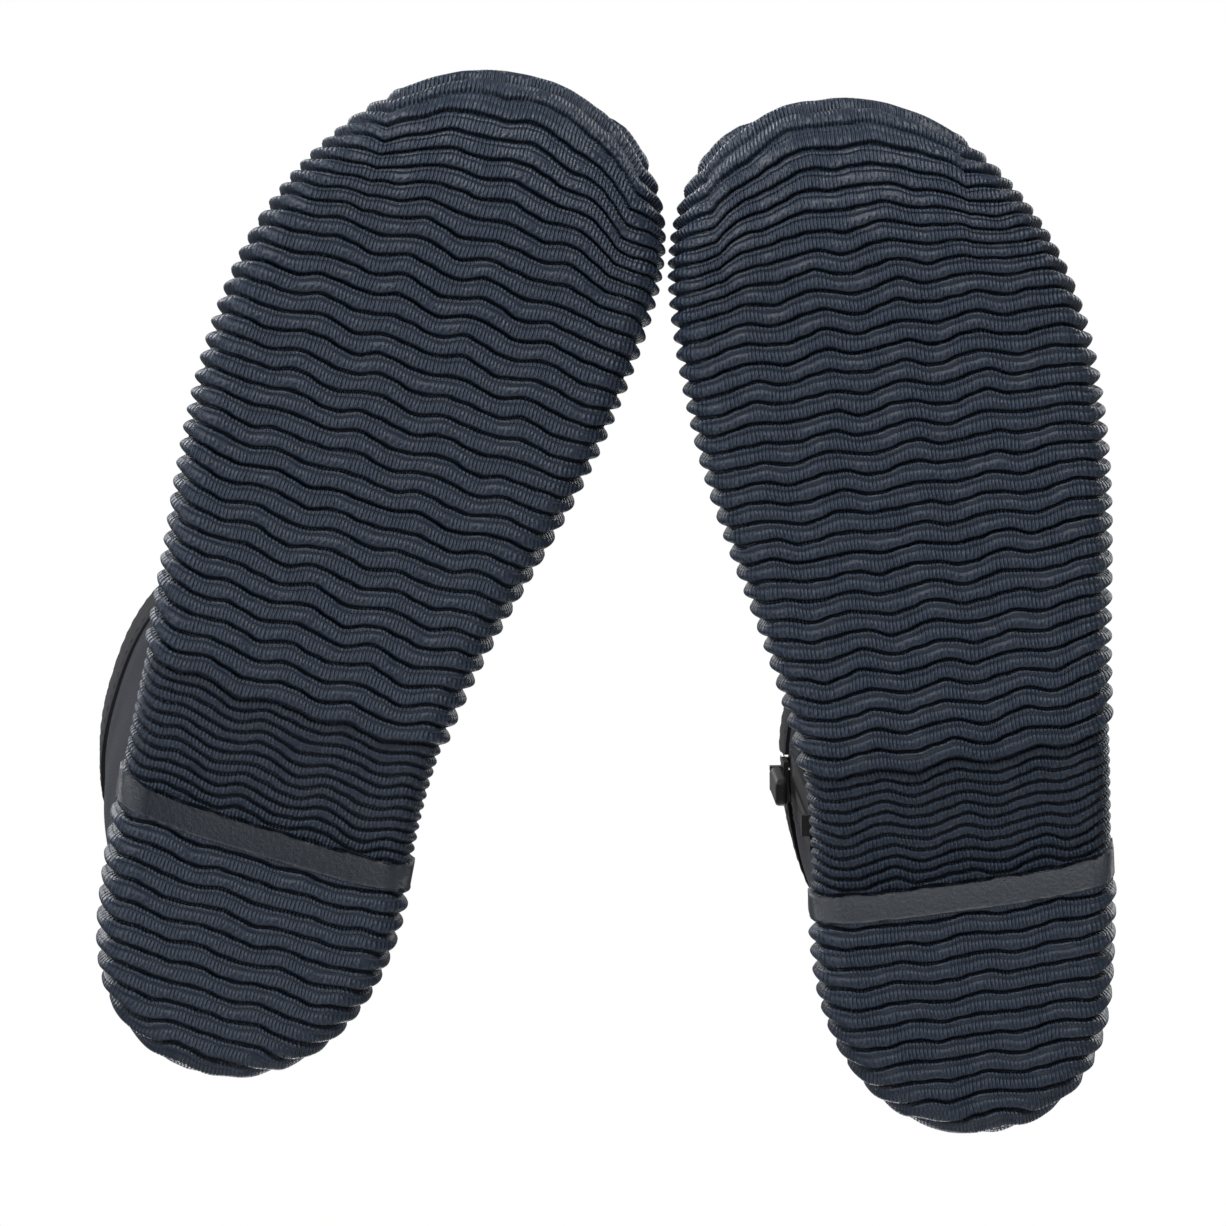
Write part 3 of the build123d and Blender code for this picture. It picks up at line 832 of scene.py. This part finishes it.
def hem_profile():
    """Folded binding in (outwards from the cut face, height): a closed loop."""
    outer = [(1.25, 151.2), (1.5, 152.2), (1.55, 156), (1.6, 160), (1.55, 164.2), (1.15, 165.6)]
    outer += [(0.3, 166.3), (-1.0, 166.5)]
    inner = [(-4.0, 166.5), (-5.3, 166.2), (-6.2, 165.4), (-6.55, 164), (-6.6, 159), (-6.5, 153)]
    inner += [(-6.2, 151.4)]
    back = [(-5.0, 151.2), (-5.0, 164.6), (0.0, 164.6), (0.0, 151.2)]
    return outer + inner + back


def shaft_ring(z, out, angles):
    """Ring round the shaft at height z, between the sections at 130 and 165 mm."""
    t = (z - 130.0) / 35.0
    low, high = SECTIONS[13], SECTIONS[14]
    section = tuple(
        (tuple(a + (b - a) * t for a, b in zip(p, q)) if isinstance(p, tuple) else p + (q - p) * t)
        for p, q in zip(low, high)
    )
    return ring_points(section, out, angles)


def hem_bmesh():
    """Hem swept round the collar, cut open at the zip."""
    fine = 2 * np.pi * np.arange(AROUND) / AROUND
    bm = bmesh.new()
    loops = []
    for out, z in hem_profile():
        pucker = 0.10 * np.sin(fine * 83.0) * (1 if 151.5 < z < 165 and out > 0 else 0)
        ring = shaft_ring(z, out, fine)
        centre = ring.mean(0)
        direction = ring - centre
        direction[:, 2] = 0
        direction /= np.linalg.norm(direction, axis=1)[:, None]
        ring = ring + direction * pucker[:, None]
        loops.append([bm.verts.new(p) for p in ring])
    count = len(loops)
    for i in range(count):
        a, b = loops[i], loops[(i + 1) % count]
        for k in range(AROUND):
            j = (k + 1) % AROUND
            bm.faces.new([a[k], a[j], b[j], b[k]])
    bmesh.ops.recalc_face_normals(bm, faces=bm.faces)
    cut = region(bm, slot_planes()[:2], lambda p: not in_slot(p))
    bm.free()
    open_edges = [e for e in cut.edges if e.is_boundary]
    bmesh.ops.holes_fill(cut, edges=open_edges, sides=0)
    bmesh.ops.recalc_face_normals(cut, faces=cut.faces)
    return cut


def bvh_of(bm):
    bm.verts.ensure_lookup_table()
    return BVHTree.FromBMesh(bm)


def trace_zip_side(tree, x, y_low, y_high, count=120):
    """Points on the form along a line beside the zip."""
    pts, nrm = [], []
    for i in range(count):
        y = y_low + (y_high - y_low) * i / (count - 1)
        hit, normal, _, _ = tree.ray_cast(zip_point(x, y, 25), -ZIP_OUT)
        if hit:
            pts.append(hit + normal * 0.05)
            nrm.append(normal)
    return pts, nrm


def trace_plane(tree, pivot, plane, a_low, a_high, count=160):
    """Points where a plane meets the form, by rays from a pivot inside it."""
    n = plane[1]
    u = n.cross(Vector((1, 0, 0))).normalized() if abs(n.x) < 0.9 else Vector((0, 1, 0))
    v = n.cross(u)
    pts, nrm = [], []
    for i in range(count):
        a = math.radians(a_low + (a_high - a_low) * i / (count - 1))
        hit, normal, _, _ = tree.ray_cast(pivot, u * math.cos(a) + v * math.sin(a))
        if hit:
            pts.append(hit + normal * 0.05)
            nrm.append(normal)
    return pts, nrm


def build_panels(side, outer):
    """The three neoprene panels."""
    low, high = flat_z(BOTTOM), flat_z(PANEL_TOP)

    def panel(name, planes, keep):
        bm = thicken(region(outer, planes, keep), WALL)
        place(bm, name, side, MAT["neoprene"], name)

    def in_quarter(p):
        return not is_vamp(p) and BOTTOM < p.z < PANEL_TOP

    panel("vamp", [SEAM_LOW, SEAM_UP, low], lambda p: is_vamp(p) and p.z > BOTTOM)
    planes = [SEAM_LOW, SEAM_UP, low, MIDDLE, high]
    panel("lateral_quarter", planes, lambda p: in_quarter(p) and side_of(MIDDLE, p) > 0)
    panel("medial_quarter", planes + slot_planes(),
          lambda p: in_quarter(p) and side_of(MIDDLE, p) <= 0 and not in_slot(p))


def in_counter(p):
    return side_of(COUNTER_FRONT, p) < 0 and side_of(COUNTER_TOP, p) < 0


def in_rand(p):
    under = p.z < RAND_HEIGHT if p.y > 120 else side_of(RAND_TOP, p) < 0
    return under and BOTTOM < p.z < 60 and p.y < TOE_CAP[0].y and not in_counter(p)


def in_seam_tape(p):
    ahead = side_of(TAPE_REAR_LOW if p.z < TAPE_BEND else TAPE_REAR_UP, p) > 0
    behind = p.z > TAPE_BEND or side_of(TAPE_FRONT_LOW, p) < 0
    return ahead and behind and RAND_HEIGHT < p.z < HEM_START


def in_back_tape(p):
    return BACK_TAPE[0] < p.x < BACK_TAPE[1] and p.y < 50 and side_of(COUNTER_TOP, p) > 0 and p.z < HEM_START


def build_skins(side, skin):
    """Rubber skins and seam tapes over the neoprene."""
    def rubber(name, planes, keep, material="skin"):
        bm = thicken(region(skin, planes, keep), 1.35)
        soften_edges(bm, 0.35)
        place(bm, name, side, MAT[material], name)

    low, rand_flat, hem = flat_z(BOTTOM), flat_z(RAND_HEIGHT), flat_z(HEM_START)
    rubber("toe_cap", [TOE_CAP, low], lambda p: p.y > TOE_CAP[0].y and p.z > BOTTOM)
    rubber("heel_counter", [COUNTER_FRONT, COUNTER_TOP, low], lambda p: in_counter(p) and p.z > BOTTOM)
    rand_planes = [rand_flat, RAND_TOP, TOE_CAP, COUNTER_FRONT, low, MIDDLE]
    rubber("medial_rand", rand_planes, lambda p: in_rand(p) and side_of(MIDDLE, p) <= 0)
    rubber("lateral_rand", rand_planes, lambda p: in_rand(p) and side_of(MIDDLE, p) > 0)
    tape_planes = [TAPE_REAR_LOW, TAPE_REAR_UP, TAPE_FRONT_LOW, rand_flat, flat_z(TAPE_BEND), hem]
    rubber("vamp_seam_tape", tape_planes, in_seam_tape, "tape")
    back_planes = [cutting_plane((x, 0, 0), (1, 0, 0)) for x in BACK_TAPE]
    rubber("back_seam_tape", [*back_planes, COUNTER_TOP, hem], in_back_tape, "tape")


def stitch_zip(threads, tree):
    """Two stitched rows on each side of the zip and one across its foot."""
    for x, start in ((-9.0, 2), (9.0, 2), (-10.8, -1), (10.8, -1)):
        stitch_row(threads, *trace_zip_side(tree, x, start, 101))
    base = [zip_point(-9.0 + 18.0 * i / 20, -3.0, 25) for i in range(21)]
    hits = [tree.ray_cast(p, -ZIP_OUT) for p in base]
    stitch_row(threads, [h[0] + h[1] * 0.05 for h in hits if h[0]], [h[1] for h in hits if h[0]])


def stitch_hem(threads):
    """Two sunken rows round the hem, open at the zip."""
    count = 720
    fine = 2 * np.pi * np.arange(count + 1) / count
    for z in (154.0, 163.3):
        ring = shaft_ring(z, 1.44, fine)
        middle = Vector(ring.mean(0))
        start = next(i for i, p in enumerate(ring) if in_slot(Vector(p), 9.5))
        pts, nrm = [], []
        for i in range(count):
            p = Vector(ring[(start + i) % count])
            if in_slot(p, 8.5):
                continue
            away = p - middle
            away.z = 0
            pts.append(p)
            nrm.append(away.normalized())
        stitch_row(threads, pts, nrm)


def stitch_seam(threads, tree):
    """Rows beside the lower vamp seam on both sides of the boot."""
    for distance in (-6.0, 6.2):
        pivot = Vector((4, 0, 70))
        pivot.y = 152 - (pivot.z + 10) * 24.0 / 122.0 + distance * 1.02
        pts, nrm = trace_plane(tree, pivot, shifted(SEAM_LOW, distance), -180, 180, 700)
        good = [(p, n) for p, n in zip(pts, nrm) if 30 < p.z < 112]
        for share in (-1, 1):
            part = [(p, n) for p, n in good if (p.x - 4) * share > 0]
            part.sort(key=lambda pn: pn[0].z)
            if len(part) > 5:
                stitch_row(threads, [p for p, _ in part], [n for _, n in part])


def build_upper(side):
    outer, skin = form_bmesh(0.0), form_bmesh(SKIN)
    build_panels(side, outer)
    build_skins(side, skin)
    place(hem_bmesh(), "collar_binding", side, MAT["hem"], "collar_binding")
    tree = bvh_of(outer)
    threads = bmesh.new()
    stitch_zip(threads, tree)
    stitch_hem(threads)
    stitch_seam(threads, tree)
    place(threads, "stitching", side, MAT["thread"])
    outer.free()
    skin.free()


def build_footbed(side):
    """Sock liner: dished cloth-topped pad on the board."""
    line, inward = ground_outline(360)
    edge = line + inward * 8.2
    middle_x = np.interp(edge[:, 1], [0, 150, 290], [1, 3, -8])
    centre_line = np.stack([middle_x, np.clip(edge[:, 1], 30, 262)], 1)
    bm = bmesh.new()

    def z_top(x, y, share):
        dish = 2.2 * share ** 6
        uneven = 0.25 * math.sin(x * 0.31 + 1.0) * math.sin(y * 0.17)
        return float(tread_line(y)) + 14.7 + dish + uneven

    rings = []
    for share in np.linspace(0, 1, 40):
        ring = []
        for (x, y), (cx, cy) in zip(edge, centre_line):
            px, py = cx + (x - cx) * share, cy + (y - cy) * share
            ring.append(bm.verts.new((px, py, z_top(px, py, share))))
        rings.append(ring)
    low = [bm.verts.new((v.co.x, v.co.y, float(tread_line(v.co.y)) + 11.3)) for v in rings[-1]]
    rings.append(low)
    n = len(edge)
    for a, b in zip(rings, rings[1:]):
        for k in range(n):
            j = (k + 1) % n
            bm.faces.new([a[k], b[k], b[j], a[j]])
    bmesh.ops.remove_doubles(bm, verts=bm.verts, dist=0.001)
    bmesh.ops.recalc_face_normals(bm, faces=bm.faces)
    place(bm, "footbed", side, MAT["lining"], "footbed")


def build_zip(side):
    """The zip's tapes and the soft flap behind it."""
    for name, x0, x1 in (("zip_tape_rear", 2.05, 7.6), ("zip_tape_front", -7.6, -2.05)):
        place(tape_bmesh(x0, x1), name, side, MAT["zip_cloth"], name)
    bm = bmesh.new()
    rows, cols, half = 70, 22, 14.0
    for out in (-6.4, -9.2):
        for i in range(rows + 1):
            y = -5.5 + 108.0 * i / rows
            for j in range(cols + 1):
                x = -half + 2 * half * j / cols
                bow = -0.9 * math.cos(x / half * math.pi / 2) + 0.35 * math.sin(y * 0.16 + x * 0.1)
                curve = -(x / half) ** 2 * 1.2
                bm.verts.new(zip_point(x, y, out + bow * 0.3 + curve))
    bm.verts.ensure_lookup_table()
    size = (rows + 1) * (cols + 1)

    def at(layer, i, j):
        return bm.verts[layer * size + i * (cols + 1) + j]

    for i in range(rows):
        for j in range(cols):
            bm.faces.new([at(0, i, j), at(0, i, j + 1), at(0, i + 1, j + 1), at(0, i + 1, j)])
            bm.faces.new([at(1, i + 1, j), at(1, i + 1, j + 1), at(1, i, j + 1), at(1, i, j)])
    rim = rim_order(rows, cols)
    for a, b in zip(rim, rim[1:] + rim[:1]):
        bm.faces.new([at(0, *b), at(0, *a), at(1, *a), at(1, *b)])
    bmesh.ops.recalc_face_normals(bm, faces=bm.faces)
    place(bm, "zip_gusset", side, MAT["lining"], "zip_gusset")


CARRIED = {
    "midsole": ("foam", "foam"), "insole_board": ("board", "board"),
    "zip_teeth_front": ("plastic", "zip_plastic"), "zip_teeth_rear": ("plastic", "zip_plastic"),
    "zip_stops": ("plastic", "zip_plastic"), "zip_slider": ("metal", "zip_metal"),
    "zip_pull": ("plastic", "zip_plastic"),
}
for SIDE in BOOTS:
    build_upper(SIDE)
    build_footbed(SIDE)
    build_zip(SIDE)
    for NODE, (LOOK, SLOT) in CARRIED.items():
        OBJ = NODES[f"{SIDE}_{NODE}"]
        OBJ.data.materials.clear()
        OBJ.data.materials.append(MAT[LOOK])


# ------------------------------------------------------------------ set and camera
def area(name, location, target, size, power):
    """Round soft light aimed at a target."""
    light = bpy.data.lights.new(name, "AREA")
    light.shape = "DISK"
    light.size = size
    light.energy = power
    obj = bpy.data.objects.new(name, light)
    bpy.context.scene.collection.objects.link(obj)
    obj.location = location
    obj.rotation_mode = "QUATERNION"
    obj.rotation_quaternion = (Vector(target) - Vector(location)).to_track_quat("-Z", "Y")
    return obj


def set_floor():
    """Pale floor that is seen from above only, so that the soles can be seen from below."""
    mesh = bpy.data.meshes.new("floor")
    s, z = 3.0, -0.0004
    mesh.from_pydata([(-s, -s, z), (s, -s, z), (s, s, z), (-s, s, z)], [], [(0, 1, 2, 3)])
    floor = bpy.data.objects.new("floor", mesh)
    bpy.context.scene.collection.objects.link(floor)
    n = Nodes("floor")
    n.set(Base_Color=(0.80, 0.80, 0.80), Roughness=0.9)
    clear = n.node("BsdfTransparent")
    geometry = n.node("NewGeometry")
    either = n.node("MixShader")
    n.tree.links.new(geometry.outputs["Backfacing"], either.inputs[0])
    n.tree.links.new(n.shader.outputs[0], either.inputs[1])
    n.tree.links.new(clear.outputs[0], either.inputs[2])
    n.tree.links.new(either.outputs[0], n.out.inputs[0])
    mesh.materials.append(n.material)
    floor.visible_diffuse = False
    floor.visible_glossy = False
    floor.visible_transmission = False
    floor.visible_shadow = False


set_floor()
world = bpy.data.worlds.new("studio")
bpy.context.scene.world = world
world.use_nodes = True
tree = world.node_tree
background = tree.nodes["Background"]
background.inputs["Color"].default_value = (1, 1, 1, 1)
background.inputs["Strength"].default_value = 0.27
backdrop = tree.nodes.new("ShaderNodeBackground")
backdrop.inputs["Color"].default_value = (1, 1, 1, 1)
backdrop.inputs["Strength"].default_value = 1.0
seen = tree.nodes.new("ShaderNodeLightPath")
choose = tree.nodes.new("ShaderNodeMixShader")
tree.links.new(seen.outputs["Is Camera Ray"], choose.inputs[0])
tree.links.new(background.outputs[0], choose.inputs[1])
tree.links.new(backdrop.outputs[0], choose.inputs[2])
tree.links.new(choose.outputs[0], tree.nodes["World Output"].inputs[0])

area("key", (0.25, 1.5, -0.75), (0, 0, 0), 0.5, 25)
area("fill", (1.3, 0.2, -0.7), (0, 0, 0), 0.6, 7)
area("rim", (-0.5, -1.3, -0.6), (0, 0, 0), 0.6, 6)
area("top_left", (1.2, 0.9, 1.4), (0, 0, 0.08), 0.9, 26)
area("top_right", (-1.3, 0.5, 1.2), (0, 0, 0.08), 1.0, 16)
area("top_back", (0.0, -1.5, 1.3), (0, 0, 0.08), 1.0, 18)

camera = bpy.data.cameras.new("camera")
camera.lens = 280.0
camera.sensor_width = 36.0
cam = bpy.data.objects.new("camera", camera)
bpy.context.scene.collection.objects.link(cam)
bpy.context.scene.camera = cam
TILT_X, TILT_Y = math.radians(2.2), math.radians(6.5)
distance = 9.408 * camera.lens / 1000.0
away = Vector((math.tan(TILT_X), math.tan(TILT_Y), -1.0)).normalized()
centre = Vector((SHIFT[0] / 1000.0, SHIFT[1] / 1000.0, 0.0))
cam.location = centre + away * distance
look = -away
right = Vector((-1, 0, 0))
right = (right - right.dot(look) * look).normalized()
up = right.cross(look)
cam.matrix_world = Matrix((
    (right.x, up.x, -look.x, cam.location.x),
    (right.y, up.y, -look.y, cam.location.y),
    (right.z, up.z, -look.z, cam.location.z),
    (0, 0, 0, 1),
))
camera.clip_start, camera.clip_end = 0.05, 50.0
bpy.context.scene.view_settings.view_transform = "Standard"
